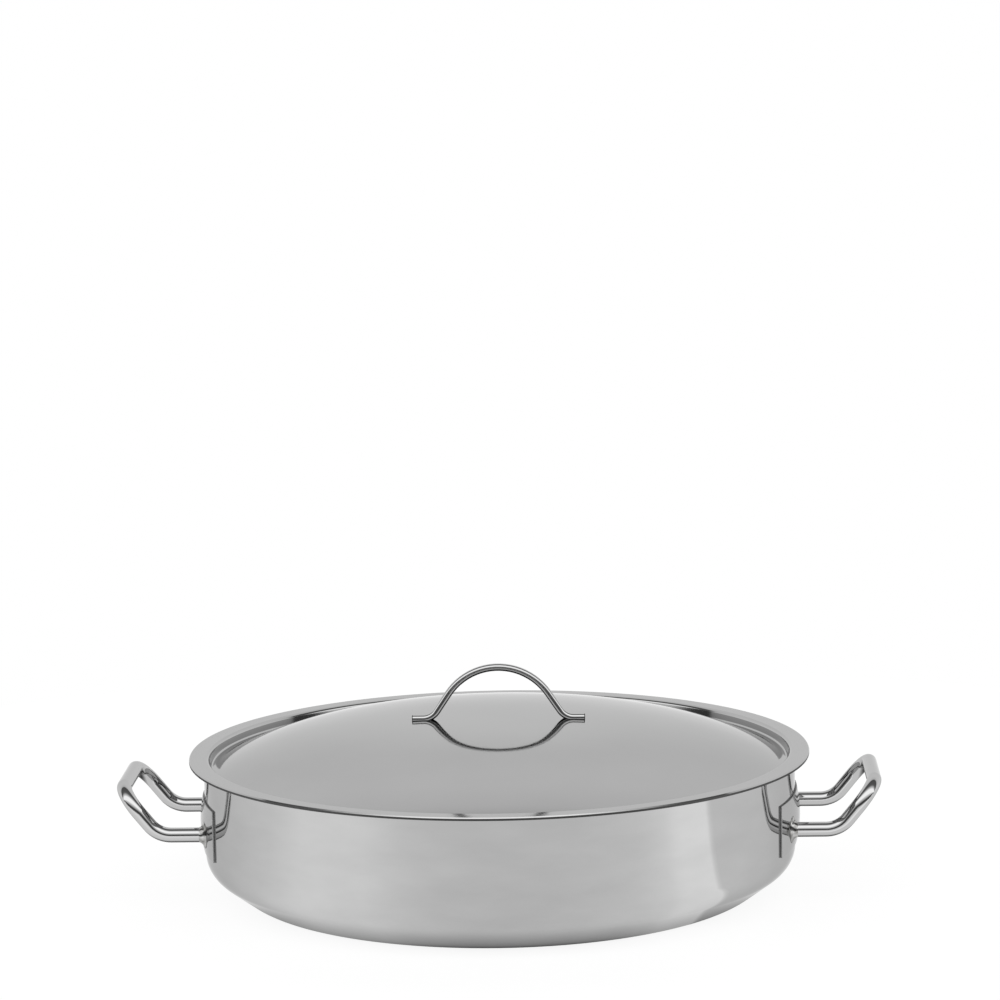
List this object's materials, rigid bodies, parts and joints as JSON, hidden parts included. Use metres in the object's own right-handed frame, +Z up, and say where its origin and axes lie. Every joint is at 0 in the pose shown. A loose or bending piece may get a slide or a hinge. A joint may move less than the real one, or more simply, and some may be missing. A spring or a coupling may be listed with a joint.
{
  "type": "saute pot",
  "caption": "Shallow straight-sided stainless saute pot with bent-rod side handles on welded wall plates and a domed drop-in lid with a wire handle.",
  "frame": {"origin": "centre of the pot's underside, on the surface that it stands on", "axes": "+Z up along the pot's axis, the two side handles lie along X and the lid's wire handle arches in the XZ plane"},
  "size_m": [0.5166, 0.422, 0.1558],
  "materials": {
    "polished_steel": "polished stainless steel",
    "lid_steel": "polished stainless steel sheet",
    "base_steel": "spun satin stainless steel",
    "plate_steel": "polished stainless steel plate",
    "rod_steel": "mirror polished stainless steel rod",
    "weld_steel": "ground stainless weld",
    "aluminium_core": "rolled aluminium"
  },
  "bodies": {
    "pot": {"pot_body": "polished_steel", "base_core": "aluminium_core", "base_cap": "base_steel", "right_handle_plate": "plate_steel", "right_handle_rod": "rod_steel", "right_front_weld": "weld_steel", "right_back_weld": "weld_steel", "left_handle_plate": "plate_steel", "left_handle_rod": "rod_steel", "left_front_weld": "weld_steel", "left_back_weld": "weld_steel"},
    "lid": {"lid": "lid_steel", "lid_handle": "rod_steel"}
  },
  "joints": [
    {"name": "lid_lift", "type": "slide", "parent": "pot", "child": "lid", "axis": [0, 0, 1], "range_m": [0, 0.2]}
  ]
}
